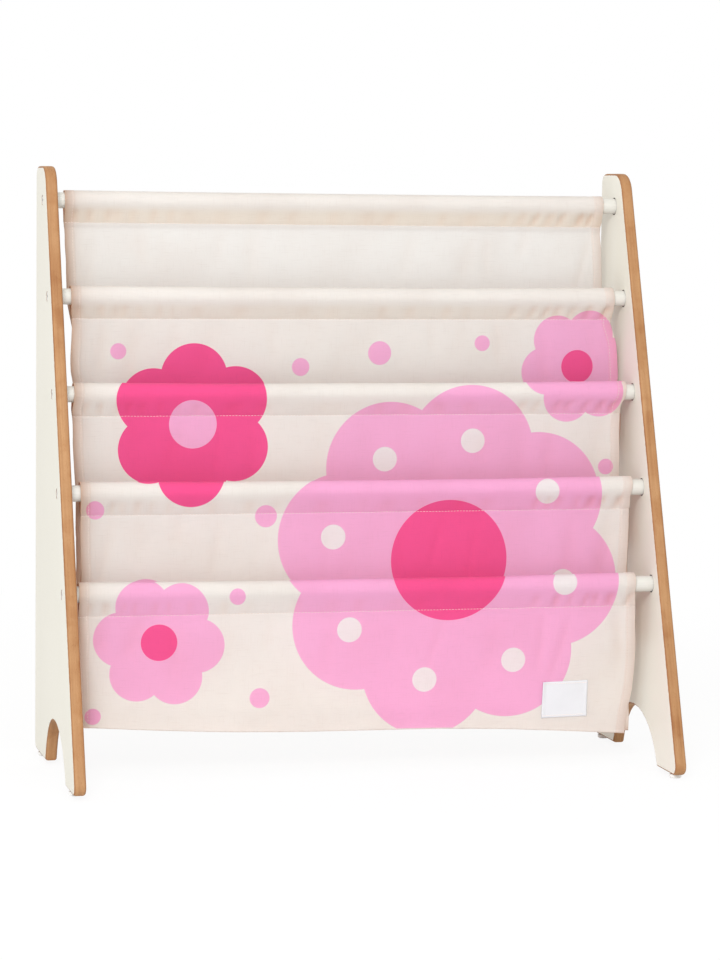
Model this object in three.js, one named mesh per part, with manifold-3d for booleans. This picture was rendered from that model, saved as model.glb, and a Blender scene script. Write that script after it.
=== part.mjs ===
// Sling bookshelf for a child's room: two side panels, five rails and cloth pockets hung between them.
// Millimetres, +Z up, the front towards -Y, the origin on the floor at the middle of the footprint.
import * as THREE from 'three';
import { mergeVertices } from 'three/addons/utils/BufferGeometryUtils.js';
import Module from 'manifold-3d';

const wasm = await Module();
wasm.setup();

// Overall sizes
const overallWidth = 610;
const overallHeight = 597;
const footprintDepth = 270;
const fitGap = 0.3;
const cutOverrun = 2;

// Side panels, cut from sheet
const panelThickness = 12;
const topDepth = 61.5;
const topFrontRadius = 25;
const topRearRadius = 11;
const frontToeRadius = 9;
const rearHeelRadius = 8;
const edgeRound = 2.8;
const cornerSteps = 8;
const edgeRoundSteps = 3;

// Arch that parts each panel's foot in two
const frontFootLength = 57.5;
const rearFootLength = 76;
const archHeight = 50.3;
const archApexOffset = 3;
const archSteps = 8;
const rearArchShares = [[0.855, 0.566], [0.53, 1]];
const frontArchShares = [[0.5, 1], [0.85, 0.525]];

// Floor glides, nailed under the feet
const glideDiameter = 12;
const glideHeight = 4;
const glideEdge = 1;
const glideNailDiameter = 2.4;
const glideNailLength = 9;
const frontGlideInset = { left: 33, right: 17 };
const rearGlideInset = 25;
const glideSides = 16;

// Rails
const railCount = 5;
const railDiameter = 16;
const railEndChamfer = 0.6;
const topRailFromTop = 33.8;
const bottomRailHeight = 185.6;
const topRailSetback = 30.1;
const bottomRailSetback = 24.1;
const socketDepth = 4;
const socketClearance = 1.1;
const railSides = 20;

// Fasteners: a countersunk bolt through the panel into a threaded insert in the rail's end
const insertDiameter = 9;
const insertLength = 14;
const boltDiameter = 5;
const boltReach = 11;
const boltHeadDiameter = 10;
const boltHeadRim = 0.8;
const boltHeadSink = 0.5;
const hexAcrossFlats = 3;
const hexDepth = 2;
const hexSides = 6;
const boltSides = 14;
const insertSides = 12;
const holeSides = 16;

// Cloth pockets
const clothThickness = 1;
const clothEndGap = 11;
const clothShift = -1.5;
const sleeveClearance = 0.5;
const seamDrop = 22;
const seamAllowance = 5;
const pocketDrop = 160;
const pocketRound = 24;
const wallLean = 2.5;
const foldDepth = 1.8;
const foldWidth = 205;
const foldHeight = 2;
const foldPhaseShares = [0.1, 0.42, 0.77, 0.25, 0.6];
const secondFoldShare = 0.45;
const secondWaveShare = 1.7;
const clothColumns = 12;
const sleeveSteps = 10;
const wallSteps = 4;
const roundSteps = 8;

// Front panel of the lowest pocket, folded round the foot of the pocket's back
const frontFoldHeight = 41.8;
const frontFoldSlant = 20;
const frontFoldWave = 2.4;
const frontFoldWaveWidth = 500;
const frontFoldShare = 0.5;
const frontSteps = 10;
const foldRadius = 1.5;
const hemHeight = 20;
const hemFoldSteps = 4;

// Sewn label, bare
const labelWidth = 48;
const labelHeight = 37.5;
const labelThickness = 0.6;
const labelFromSide = 48.7;
const labelAboveFold = 14;
const labelColumns = 4;
const labelSteps = 5;

// Derived places
const halfDepth = footprintDepth / 2;
const panelOuterX = overallWidth / 2;
const panelInnerX = panelOuterX - panelThickness;
const railRadius = railDiameter / 2;
const railEndX = panelInnerX + socketDepth - fitGap;
const sleeveRadius = railRadius + sleeveClearance + clothThickness / 2;
const layerPitch = clothThickness + fitGap;
const clothWidth = 2 * (panelInnerX - clothEndGap);
const labelCentreX = clothWidth / 2 - labelFromSide - labelWidth / 2;

const finishes = {
  panel: new THREE.MeshStandardMaterial({ color: 0xefece2, roughness: 0.45, metalness: 0 }),
  rail: new THREE.MeshStandardMaterial({ color: 0xf2f0ea, roughness: 0.5, metalness: 0 }),
  steel: new THREE.MeshStandardMaterial({ color: 0xb9bcbf, roughness: 0.35, metalness: 1 }),
  glide: new THREE.MeshStandardMaterial({ color: 0xdcdcda, roughness: 0.5, metalness: 0 }),
  cloth: new THREE.MeshStandardMaterial({ color: 0xf3e2d6, roughness: 0.9, metalness: 0 }),
  label: new THREE.MeshStandardMaterial({ color: 0xf7f7f5, roughness: 0.85, metalness: 0 }),
};

const bookshelf = new THREE.Group();

// Adds a geometry to the bookshelf as a named mesh and returns that mesh.
function addPiece(name, geometry, finish) {
  const mesh = new THREE.Mesh(geometry, finishes[finish]);
  mesh.name = name;
  bookshelf.add(mesh);
  return mesh;
}

// A closed mesh with its shared vertices merged, as a solid that can be cut.
function solidOf(geometry) {
  const bare = geometry.clone();
  bare.deleteAttribute('normal');
  bare.deleteAttribute('uv');
  const merged = mergeVertices(bare);
  return new wasm.Manifold(new wasm.Mesh({
    numProp: 3,
    vertProperties: new Float32Array(merged.attributes.position.array),
    triVerts: new Uint32Array(merged.index.array),
  }));
}

function geometryOf(solid) {
  const mesh = solid.getMesh();
  const geometry = new THREE.BufferGeometry();
  geometry.setAttribute('position', new THREE.BufferAttribute(new Float32Array(mesh.vertProperties), 3));
  geometry.setIndex(new THREE.BufferAttribute(new Uint32Array(mesh.triVerts), 1));
  geometry.computeVertexNormals();
  return geometry;
}

function cutAway(geometry, cutters) {
  let solid = solidOf(geometry);
  for (const cutter of cutters) {
    solid = solid.subtract(solidOf(cutter));
  }
  return geometryOf(solid);
}

// Turns a profile of radius and height round the Z axis.
function turned(profile, sides) {
  const points = profile.map(([radius, height]) => new THREE.Vector2(radius, height));
  return new THREE.LatheGeometry(points, sides).rotateX(Math.PI / 2);
}

// Turns a profile of radius and distance round the X axis.
function turnedAlongX(profile, sides) {
  return turned(profile, sides).rotateY(Math.PI / 2);
}

// Slope of a panel's front edge, in depth for each unit of height: a line from the top corner that
// just touches the round of the toe.
function frontRake() {
  const back = 2 * halfDepth - topDepth - frontToeRadius;
  const up = overallHeight - glideHeight - frontToeRadius;
  return Math.tan(Math.atan(back / up) + Math.asin(frontToeRadius / Math.hypot(back, up)));
}

function frontEdgeY(z) {
  return halfDepth - topDepth - frontRake() * (overallHeight - z);
}

// Places of the rails in Y and Z, from the top one down, evenly spaced and set back from the front edge.
function railPlace(index) {
  const share = index / (railCount - 1);
  const topZ = overallHeight - topRailFromTop;
  const z = topZ + (bottomRailHeight - topZ) * share;
  return { y: frontEdgeY(z) + topRailSetback + (bottomRailSetback - topRailSetback) * share, z };
}

// Points of a rounded corner between the straight lines to its two neighbours.
function roundedCorner(before, corner, after, radius) {
  const toBefore = before.clone().sub(corner).normalize();
  const toAfter = after.clone().sub(corner).normalize();
  const halfAngle = Math.acos(toBefore.dot(toAfter)) / 2;
  const bisector = toBefore.clone().add(toAfter).normalize();
  const centre = corner.clone().addScaledVector(bisector, radius / Math.sin(halfAngle));
  const reach = radius / Math.tan(halfAngle);
  const start = corner.clone().addScaledVector(toBefore, reach).sub(centre);
  const end = corner.clone().addScaledVector(toAfter, reach).sub(centre);
  const sweep = Math.atan2(start.cross(end), start.dot(end));
  const points = [];
  for (let step = 0; step <= cornerSteps; step += 1) {
    const turn = (sweep * step) / cornerSteps;
    points.push(start.clone().rotateAround(new THREE.Vector2(), turn).add(centre));
  }
  return points;
}

// Points along one flank of the arch, from its start to its end. The shares place the curve's two
// handles between the apex and the foot, along and up.
function archFlank(start, end, apex, foot, shares) {
  const handles = shares.map(([along, up]) => new THREE.Vector2(
    apex.x + (foot.x - apex.x) * along,
    foot.y + (apex.y - foot.y) * up,
  ));
  return new THREE.CubicBezierCurve(start, handles[0], handles[1], end).getPoints(archSteps);
}

// Outline of a side panel in Y and Z: a raked front edge, an upright rear edge and an arched foot.
function panelOutline() {
  const toe = new THREE.Vector2(frontEdgeY(glideHeight), glideHeight);
  const heel = new THREE.Vector2(halfDepth, glideHeight);
  const topRear = new THREE.Vector2(halfDepth, overallHeight);
  const topFront = new THREE.Vector2(frontEdgeY(overallHeight), overallHeight);
  const rearFootEnd = new THREE.Vector2(halfDepth - rearFootLength, glideHeight);
  const frontFootEnd = new THREE.Vector2(frontFootLength - halfDepth, glideHeight);
  const apex = new THREE.Vector2(-archApexOffset, glideHeight + archHeight);
  return [
    ...roundedCorner(toe, topFront, topRear, topFrontRadius).reverse(),
    ...roundedCorner(topFront, toe, frontFootEnd, frontToeRadius),
    ...archFlank(apex, frontFootEnd, apex, frontFootEnd, frontArchShares).reverse(),
    ...archFlank(rearFootEnd, apex, apex, rearFootEnd, rearArchShares).reverse().slice(1),
    ...roundedCorner(rearFootEnd, heel, topRear, rearHeelRadius),
    ...roundedCorner(heel, topRear, topFront, topRearRadius),
  ];
}

// Flat panel standing between the planes X = 0 and X = panelThickness, with its edges rounded over.
function panelBlank() {
  const outline = new THREE.Shape(panelOutline());
  const blank = new THREE.ExtrudeGeometry(outline, {
    depth: panelThickness - 2 * edgeRound,
    bevelEnabled: true,
    bevelThickness: edgeRound,
    bevelSize: edgeRound,
    bevelOffset: -edgeRound,
    bevelSegments: edgeRoundSteps,
    curveSegments: 1,
  });
  blank.translate(0, 0, edgeRound);
  const toYZ = new THREE.Matrix4().makeBasis(
    new THREE.Vector3(0, 1, 0),
    new THREE.Vector3(0, 0, 1),
    new THREE.Vector3(1, 0, 0),
  );
  return blank.applyMatrix4(toYZ);
}

// Countersunk through hole from the outer face and a blind socket for the rail from the inner face.
function railHole() {
  const headRadius = boltHeadDiameter / 2 + fitGap;
  const shankRadius = boltDiameter / 2 + fitGap;
  const rimDepth = boltHeadSink + boltHeadRim;
  const socketRadius = railRadius + socketClearance;
  return turnedAlongX([
    [0, -cutOverrun],
    [headRadius, -cutOverrun],
    [headRadius, rimDepth],
    [shankRadius, rimDepth + headRadius - shankRadius],
    [shankRadius, panelThickness - socketDepth],
    [socketRadius, panelThickness - socketDepth],
    [socketRadius, panelThickness + cutOverrun],
    [0, panelThickness + cutOverrun],
  ], holeSides);
}

function glidePlaces(side) {
  return { front: frontGlideInset[side] - halfDepth, rear: halfDepth - rearGlideInset };
}

// A panel with its outer face on X = 0 and its inner face towards +X, then set on its side of the shelf.
function addSidePanel(side) {
  const cutters = [];
  for (let index = 0; index < railCount; index += 1) {
    const place = railPlace(index);
    cutters.push(railHole().translate(0, place.y, place.z));
  }
  for (const y of Object.values(glidePlaces(side))) {
    const radius = glideNailDiameter / 2 + fitGap;
    const depth = glideNailLength + fitGap;
    const nailHole = turned([[0, -cutOverrun], [radius, -cutOverrun], [radius, depth], [0, depth]], insertSides);
    cutters.push(nailHole.translate(panelThickness / 2, y, glideHeight));
  }
  let panel = cutAway(panelBlank(), cutters);
  if (side === 'right') {
    panel = mirroredInX(panel);
  }
  const outerX = side === 'left' ? -panelOuterX : panelOuterX;
  addPiece(`side_panel_${side}`, panel.translate(outerX, 0, 0), 'panel');
}

// The same geometry mirrored in X, with its triangles turned round so that they still face out.
function mirroredInX(geometry) {
  const mirrored = geometry.clone().scale(-1, 1, 1);
  const index = mirrored.index.array;
  for (let corner = 0; corner < index.length; corner += 3) {
    const kept = index[corner + 1];
    index[corner + 1] = index[corner + 2];
    index[corner + 2] = kept;
  }
  mirrored.computeVertexNormals();
  return mirrored;
}

// Round rail with a chamfer and a bore for the insert at each end.
function addRail(index) {
  const boreRadius = insertDiameter / 2 + fitGap;
  const boreEnd = railEndX - insertLength - fitGap;
  const half = [
    [0, boreEnd],
    [boreRadius, boreEnd],
    [boreRadius, railEndX],
    [railRadius - railEndChamfer, railEndX],
    [railRadius, railEndX - railEndChamfer],
  ];
  const otherHalf = half.map(([radius, x]) => [radius, -x]).reverse();
  const profile = [...half, ...otherHalf].reverse();
  const place = railPlace(index);
  addPiece(`rail_${index + 1}`, turnedAlongX(profile, railSides).translate(0, place.y, place.z), 'rail');
}

// Threaded insert, a plain sleeve in the rail's end, drawn for the left side.
function insertGeometry() {
  const outer = insertDiameter / 2;
  const inner = boltDiameter / 2 + fitGap;
  const start = fitGap - railEndX;
  const end = start + insertLength - fitGap;
  return turnedAlongX([[inner, start], [outer, start], [outer, end], [inner, end], [inner, start]], insertSides);
}

// Countersunk bolt with a hexagon socket, drawn for the left side with its head outwards.
function boltGeometry() {
  const headRadius = boltHeadDiameter / 2;
  const shankRadius = boltDiameter / 2;
  const face = boltHeadSink - panelOuterX;
  const rim = face + boltHeadRim;
  const end = boltReach - railEndX;
  const bolt = turnedAlongX([
    [0, face],
    [headRadius, face],
    [headRadius, rim],
    [shankRadius, rim + headRadius - shankRadius],
    [shankRadius, end],
    [0, end],
  ], boltSides);
  const hexRadius = hexAcrossFlats / Math.sqrt(3);
  const hexSocket = turnedAlongX([
    [0, face - cutOverrun],
    [hexRadius, face - cutOverrun],
    [hexRadius, face + hexDepth],
    [0, face + hexDepth],
  ], hexSides);
  return cutAway(bolt, [hexSocket]);
}

function addFasteners(index) {
  const place = railPlace(index);
  const insert = geometryOf(solidOf(insertGeometry()));
  const bolt = boltGeometry();
  for (const side of ['left', 'right']) {
    const sideInsert = side === 'left' ? insert.clone() : mirroredInX(insert);
    const sideBolt = side === 'left' ? bolt.clone() : mirroredInX(bolt);
    addPiece(`insert_${side}_${index + 1}`, sideInsert.translate(0, place.y, place.z), 'steel');
    addPiece(`bolt_${side}_${index + 1}`, sideBolt.translate(0, place.y, place.z), 'steel');
  }
}

// Round glide with its nail, under the middle of a panel's edge.
function addGlides() {
  const radius = glideDiameter / 2;
  const padTop = glideHeight - fitGap;
  const nailRadius = glideNailDiameter / 2;
  const nailTop = glideHeight + glideNailLength;
  const profile = [
    [0, 0],
    [radius - glideEdge, 0],
    [radius, glideEdge],
    [radius, padTop],
    [nailRadius, padTop],
    [nailRadius, nailTop],
    [0, nailTop],
  ];
  const middleX = panelOuterX - panelThickness / 2;
  for (const side of ['left', 'right']) {
    const x = side === 'left' ? -middleX : middleX;
    for (const [end, y] of Object.entries(glidePlaces(side))) {
      addPiece(`glide_${side}_${end}`, turned(profile, glideSides).translate(x, y, 0), 'glide');
    }
  }
}

// Wave of the cloth across its width, from -1 to 1, straight between the columns of the mesh.
function wave(x, pocket) {
  const columnWidth = clothWidth / clothColumns;
  const left = Math.floor((x + clothWidth / 2) / columnWidth) * columnWidth - clothWidth / 2;
  const share = (x - left) / columnWidth;
  return (1 - share) * smoothWave(left, pocket) + share * smoothWave(left + columnWidth, pocket);
}

function smoothWave(x, pocket) {
  const phase = 2 * Math.PI * foldPhaseShares[pocket % foldPhaseShares.length];
  const turn = (2 * Math.PI * x) / foldWidth;
  const second = secondFoldShare * Math.sin(secondWaveShare * turn + 2 * phase);
  return (Math.cos(turn + phase) + second) / (1 + secondFoldShare);
}

function eased(share) {
  return share * share * (3 - 2 * share);
}

// Middle line of the sleeve round a rail, from its rear seam over the top to its front seam.
function sleevePath(rail) {
  const seamY = layerPitch / 2;
  const reach = Math.hypot(seamY, seamDrop);
  const halfOpening = Math.acos(sleeveRadius / reach) + Math.atan(seamY / seamDrop);
  const from = halfOpening - Math.PI / 2;
  const sweep = 2 * Math.PI - 2 * halfOpening;
  const path = [
    [rail.y + seamY, rail.z - seamDrop - seamAllowance],
    [rail.y + seamY, rail.z - seamDrop],
  ];
  for (let step = 0; step <= sleeveSteps; step += 1) {
    const turn = from + (sweep * step) / sleeveSteps;
    path.push([rail.y + sleeveRadius * Math.cos(turn), rail.z + sleeveRadius * Math.sin(turn)]);
  }
  path.push([rail.y - seamY, rail.z - seamDrop]);
  return path;
}

// Run of cloth between two heights, drifting further from upright the further it is from its seam.
function wallPath(y, fromZ, toZ, seamZ, freeZ, drift) {
  const path = [];
  for (let step = 1; step <= wallSteps; step += 1) {
    const z = fromZ + ((toZ - fromZ) * step) / wallSteps;
    path.push([y + drift * eased((seamZ - z) / (seamZ - freeZ)), z]);
  }
  return path;
}

// Sling of one pocket: sleeve, back wall, round bottom and front wall up to the next rail's seam.
// Both walls lean in towards the bottom, as hanging cloth does.
function slingPath(index, x) {
  const rail = railPlace(index);
  const nextRail = railPlace(index + 1);
  const backY = rail.y - layerPitch / 2;
  const frontY = nextRail.y + layerPitch + layerPitch / 2;
  const backSeamZ = rail.z - seamDrop;
  const frontSeamZ = nextRail.z - seamDrop - fitGap;
  const sway = foldDepth * wave(x, index);
  const bottomZ = nextRail.z - pocketDrop + foldHeight * wave(x + foldWidth / 4, index);
  const roundZ = bottomZ + pocketRound;
  const path = sleevePath(rail);
  path.push(...wallPath(backY, backSeamZ, roundZ, backSeamZ, roundZ, sway - wallLean));
  const middleY = (backY + frontY) / 2;
  const halfWidth = (backY - frontY) / 2 - wallLean;
  for (let step = 1; step < roundSteps; step += 1) {
    const turn = (Math.PI * step) / roundSteps;
    path.push([middleY + sway + halfWidth * Math.cos(turn), roundZ - pocketRound * Math.sin(turn)]);
  }
  path.push([frontY + sway + wallLean, roundZ]);
  path.push(...wallPath(frontY, roundZ, frontSeamZ, frontSeamZ, roundZ, sway + wallLean));
  return path;
}

// Height of the front panel's bottom fold, which hangs lower towards the right.
function frontFoldZ(x) {
  const swing = frontFoldWave * Math.sin((2 * Math.PI * x) / frontFoldWaveWidth);
  return frontFoldHeight - (frontFoldSlant * x) / clothWidth + swing;
}

// Place in Y of that fold, between the two rails that carry the lowest pocket.
function frontFoldY() {
  const backY = railPlace(railCount - 2).y;
  const frontY = railPlace(railCount - 1).y;
  return backY + (frontY - backY) * frontFoldShare - layerPitch / 2;
}

// Back wall of the lowest pocket: sleeve, and a wall that leans forward into the front panel's fold.
function lowestBackPath(x) {
  const rail = railPlace(railCount - 2);
  const path = sleevePath(rail);
  const backY = rail.y - layerPitch / 2;
  const seamZ = rail.z - seamDrop;
  const hemTopZ = frontFoldZ(x) + foldRadius + hemHeight;
  path.push(...wallPath(backY, seamZ, hemTopZ, seamZ, hemTopZ, frontFoldY() - backY));
  path.push([frontFoldY(), frontFoldZ(x) + foldRadius + clothThickness]);
  return path;
}

// Middle line of the front panel below its seam, leaning back to the bottom fold and swaying between.
function frontDropPath(x) {
  const rail = railPlace(railCount - 1);
  const frontY = rail.y - layerPitch / 2;
  const seamZ = rail.z - seamDrop;
  const foldZ = frontFoldZ(x) + foldRadius;
  const lean = frontFoldY() - foldRadius - frontY;
  const sway = foldDepth * wave(x, railCount - 1);
  const path = [];
  for (let step = 1; step <= frontSteps; step += 1) {
    const share = step / frontSteps;
    const y = frontY + lean * eased(share) + 4 * sway * share * (1 - share);
    path.push([y, seamZ + (foldZ - seamZ) * share]);
  }
  return path;
}

// Front panel: sleeve, printed front, bottom fold and a short hem up behind the back wall.
function frontPanelPath(x) {
  const foldY = frontFoldY();
  const foldZ = frontFoldZ(x) + foldRadius;
  const path = [...sleevePath(railPlace(railCount - 1)), ...frontDropPath(x)];
  for (let step = 1; step <= hemFoldSteps; step += 1) {
    const turn = Math.PI + (Math.PI * step) / hemFoldSteps;
    path.push([foldY + foldRadius * Math.cos(turn), foldZ + foldRadius * Math.sin(turn)]);
  }
  path.push([foldY + foldRadius, foldZ + hemHeight]);
  return path;
}

// Points on both sides of a middle line, half the thickness away from it.
function layerSides(path, thickness) {
  return path.map((point, index) => {
    const before = path[Math.max(index - 1, 0)];
    const after = path[Math.min(index + 1, path.length - 1)];
    const length = Math.hypot(after[0] - before[0], after[1] - before[1]);
    const offsetY = (-(after[1] - before[1]) / length) * (thickness / 2);
    const offsetZ = ((after[0] - before[0]) / length) * (thickness / 2);
    return [
      [point[0] + offsetY, point[1] + offsetZ],
      [point[0] - offsetY, point[1] - offsetZ],
    ];
  });
}

// Closed body of cloth: pathAt(x) gives its middle line in Y and Z at each column across its width.
function clothBody(pathAt, columns, width, centreX, shiftX, thickness) {
  const positions = [];
  const faces = [];
  let count = 0;
  for (let column = 0; column <= columns; column += 1) {
    const x = centreX - width / 2 + (width * column) / columns;
    const sides = layerSides(pathAt(x), thickness);
    count = sides.length;
    for (const [outer, inner] of sides) {
      positions.push(x + shiftX, outer[0], outer[1], x + shiftX, inner[0], inner[1]);
    }
  }
  const at = (column, step, side) => 2 * (column * count + step) + side;
  const quad = (a, b, c, d) => faces.push(a, b, c, a, c, d);
  for (let column = 0; column < columns; column += 1) {
    for (let step = 0; step < count - 1; step += 1) {
      quad(at(column, step, 0), at(column + 1, step, 0), at(column + 1, step + 1, 0), at(column, step + 1, 0));
      quad(at(column, step, 1), at(column, step + 1, 1), at(column + 1, step + 1, 1), at(column + 1, step, 1));
    }
    quad(at(column, 0, 1), at(column + 1, 0, 1), at(column + 1, 0, 0), at(column, 0, 0));
    const last = count - 1;
    quad(at(column, last, 1), at(column, last, 0), at(column + 1, last, 0), at(column + 1, last, 1));
  }
  for (let step = 0; step < count - 1; step += 1) {
    quad(at(0, step, 0), at(0, step + 1, 0), at(0, step + 1, 1), at(0, step, 1));
    quad(at(columns, step, 0), at(columns, step, 1), at(columns, step + 1, 1), at(columns, step + 1, 0));
  }
  const geometry = new THREE.BufferGeometry();
  geometry.setAttribute('position', new THREE.BufferAttribute(new Float32Array(positions), 3));
  geometry.setIndex(faces);
  geometry.computeVertexNormals();
  return geometry;
}

function addCloth() {
  const lastPocket = railCount - 2;
  for (let index = 0; index <= lastPocket; index += 1) {
    const pathAt = index < lastPocket ? (x) => slingPath(index, x) : lowestBackPath;
    const sling = clothBody(pathAt, clothColumns, clothWidth, 0, clothShift, clothThickness);
    addPiece(`sling_${index + 1}`, sling, 'cloth');
  }
  const front = clothBody(frontPanelPath, clothColumns, clothWidth, 0, clothShift, clothThickness);
  addPiece('front_panel', front, 'cloth');
}

// Middle line of the label, on the front panel's outer side, upwards from near its bottom fold.
function labelPath(x) {
  const topZ = frontFoldZ(labelCentreX) + labelAboveFold + labelHeight;
  const stand = clothThickness / 2 + fitGap + labelThickness / 2;
  const front = layerSides(frontDropPath(x), 2 * stand).map(([, outer]) => outer);
  const heightAt = (z) => {
    const index = front.findIndex((point) => point[1] < z);
    const above = front[index - 1];
    const below = front[index];
    const share = (above[1] - z) / (above[1] - below[1]);
    return [above[0] + (below[0] - above[0]) * share, z];
  };
  const path = [];
  for (let step = 0; step <= labelSteps; step += 1) {
    path.push(heightAt(topZ - (labelHeight * step) / labelSteps));
  }
  return path;
}

function addLabel() {
  const label = clothBody(labelPath, labelColumns, labelWidth, labelCentreX, clothShift, labelThickness);
  addPiece('label_patch', label, 'label');
}

addSidePanel('left');
addSidePanel('right');
for (let index = 0; index < railCount; index += 1) {
  addRail(index);
  addFasteners(index);
}
addGlides();
addCloth();
addLabel();

export default bookshelf;
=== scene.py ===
"""Looks of the sling bookshelf: printed canvas over painted rails between two painted panels."""

import bpy
import numpy as np
from mathutils import Matrix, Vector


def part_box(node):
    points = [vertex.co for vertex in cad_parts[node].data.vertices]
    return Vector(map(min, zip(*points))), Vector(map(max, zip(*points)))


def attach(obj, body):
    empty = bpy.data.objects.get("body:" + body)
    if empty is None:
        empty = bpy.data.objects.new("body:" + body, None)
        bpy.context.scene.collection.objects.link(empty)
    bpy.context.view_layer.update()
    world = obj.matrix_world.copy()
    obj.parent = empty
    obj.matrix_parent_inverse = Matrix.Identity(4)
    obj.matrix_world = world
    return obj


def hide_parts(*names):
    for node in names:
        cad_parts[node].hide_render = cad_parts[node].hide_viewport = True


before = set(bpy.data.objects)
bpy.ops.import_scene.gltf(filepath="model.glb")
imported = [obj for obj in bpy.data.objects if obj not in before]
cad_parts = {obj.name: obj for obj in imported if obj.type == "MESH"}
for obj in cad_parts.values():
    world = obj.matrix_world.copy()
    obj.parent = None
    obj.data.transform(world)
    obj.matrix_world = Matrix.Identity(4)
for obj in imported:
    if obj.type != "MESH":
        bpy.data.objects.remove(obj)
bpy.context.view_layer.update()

MM = 0.001
MM_IN_METRE = 1000.0

# Camera of the photograph, found from the panels' edges and the rails' ends
CAMERA_PLACE = (-0.73896, -3.0052, 0.5817)
CAMERA_YAW = np.radians(13.8452)
CAMERA_PITCH = np.radians(5.40565)
CAMERA_ROLL = np.radians(0.71290)
CAMERA_LENS = 116.75
SENSOR_WIDTH = 36.0

# Cloth sizes in millimetres, as the CAD part has them
RAILS = 5
HALF_WIDTH = 282.0
CLOTH_SHIFT = -1.5
SLEEVE_RADIUS = 9.0
LAYER_STEP = 1.3
LAYER_GAP = 0.3
SEAM_DROP = 22.0
SEAM_ALLOWANCE = 5.0
POCKET_DROP = 160.0
POCKET_ROUND = 24.0
WALL_LEAN = 2.5
SWAY = 1.8
SWAY_WIDTH = 205.0
SWAY_HEIGHT = 2.0
SWAY_PHASES = (0.1, 0.42, 0.77, 0.25, 0.6)
SWAY_SECOND_TURNS = 1.7
SWAY_SECOND_SHARE = 0.45
FOLD_HEIGHT = 41.8
FOLD_SLANT = 20.0
FOLD_WAVE = 2.4
FOLD_WAVE_WIDTH = 500.0
FOLD_RADIUS = 1.5
BOTTOM_HEM = 20.0

# Canvas, its hems and its stitches in millimetres
CANVAS = 0.56
HEM_LAYER = 0.42
HEM_WIDTH = 9.6
HEM_STEP = 0.5
HEM_STITCH = 7.9
STITCH_GROOVE = 0.45
STITCH_PRESS = 0.7
STITCH_PITCH = 3.2
STITCH_LENGTH = 2.5
STITCH_CORNERS = 6
STITCH_BOW = 0.16
STITCH_DIP = 0.25
THREAD_RADIUS = 0.2

# How far each sleeve stands off the top of its rail at its two ends, the share of that in the middle,
# how far below the rail's middle the lift starts, and where across the rail it grows
SLEEVE_LIFT = (0.7, 1.6, 1.9, 2.0, 2.3)
LIFT_MIDDLE_SHARE = 0.35
LIFT_START = 5.0
LIFT_INNER = 120.0
LIFT_REACH = 150.0

# Label in millimetres: its tape, what is folded under at its sides, its curl and its stitches. Its turn
# is a slope
LABEL_TURN = 0.018
LABEL_TAPE = 0.34
LABEL_CLEARANCE = 0.12
LABEL_FOLD = 0.22
LABEL_FOLD_WIDTH = 2.6
LABEL_CURL = 0.9
LABEL_CURL_SHARE = 0.09
LABEL_STITCH_PITCH = 2.4

# Grid of the cloth: columns by their distance from a side edge, and rows along the path
HEM_COLUMNS = (0.0, 0.4, 1.6, 3.4, 5.4, 7.0, 7.5, HEM_STITCH, 8.3, 9.0, HEM_WIDTH, 10.2, 11.8)
MIDDLE_COLUMNS = 166
ALLOWANCE_ROWS = 2
RUN_SHARES = (0.0, 0.03, 0.1, 0.25, 0.4, 0.55, 0.7, 0.85)
ARC_ROWS = 21
SLEEVE_ROWS = ALLOWANCE_ROWS + ARC_ROWS + 2 * len(RUN_SHARES)
SEAM_ROW = SLEEVE_ROWS - 1
FIRST_ROW = ALLOWANCE_ROWS + len(RUN_SHARES) + ARC_ROWS // 2 - 1
SEAM_STEPS = (0.3, 0.8, 2.0, 4.0)
ABOUT_FRONT_LENGTH = 120.0
BACK_STEPS = 56
BOTTOM_STEPS = 16
RISE_STEPS = 32
LOWEST_STEPS = 54
FRONT_STEPS = 46
HEM_STEPS = 8
HIDING_ROWS = 6.0

# Where the cloth's two side edges hang, in millimetres inwards of its cut width, by drop below the rail
RIGHT_EDGE = (
    ((-9, 2.0), (5, 1.9), (17, 2.1), (30, 3.2), (50, 1.2), (70, -0.3), (80, -0.5), (150, 0.0)),
    ((-8, 0.3), (4, -0.9), (14, -0.9), (26, 0.6), (46, -5.8), (66, -6.7), (83, -8.5), (100, -3.0),
     (116, -1.0), (200, 0.0)),
    ((-3, -3.3), (5, -2.3), (13, 1.5), (21, 1.3), (39, 0.8), (64, 0.6), (82, 0.5), (150, 0.0)),
    ((-6, -0.3), (1.4, 0.3), (8, 1.6), (14, 0.5), (20, 0.2), (34, 1.1), (54, 2.0), (74, 3.3),
     (83, 4.0), (150, 3.0)),
    ((-6, 6.3), (7, 7.0), (15, 5.5), (23, 4.4), (49, 2.5), (79, 0.8), (100, 0.8), (109, 1.1),
     (117, 2.0), (134, 5.2), (150, 7.2)),
)
LEFT_EDGE = (
    ((0, 0.2), (11, 0.3), (21, 0.0), (34, 1.4), (54, 1.9), (74, 2.1), (100, 3.0), (130, 9.0), (260, 9.0)),
    ((0, 1.5), (15, 1.9), (30, 3.1), (50, 2.4), (75, 2.3), (110, 8.0), (260, 8.0)),
    ((0, -0.5), (15, -1.5), (27, -0.4), (47, -0.9), (72, 0.7), (110, 3.0), (200, 2.5), (260, 4.0)),
    ((0, 0.6), (25, 1.5), (80, 2.5), (150, 1.0)),
    ((-6, -5.5), (0, -5.5), (12, -5.0), (38, -4.7), (68, -3.6), (108, -2.0), (150, -1.0)),
)
EDGE_WANDER = 0.5
EDGE_WANDER_LENGTH = 21.0
STILL_HALF = 60.0

# Small relief of the cloth in millimetres
RIPPLE = 0.22
RIPPLE_PITCH = 9.0
RIPPLE_REACH = 5.0
SEAM_GROOVE = 0.3
SEAM_GROOVE_WIDTH = 0.8
SWELL = 0.3
GRAIN = 0.07

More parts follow.
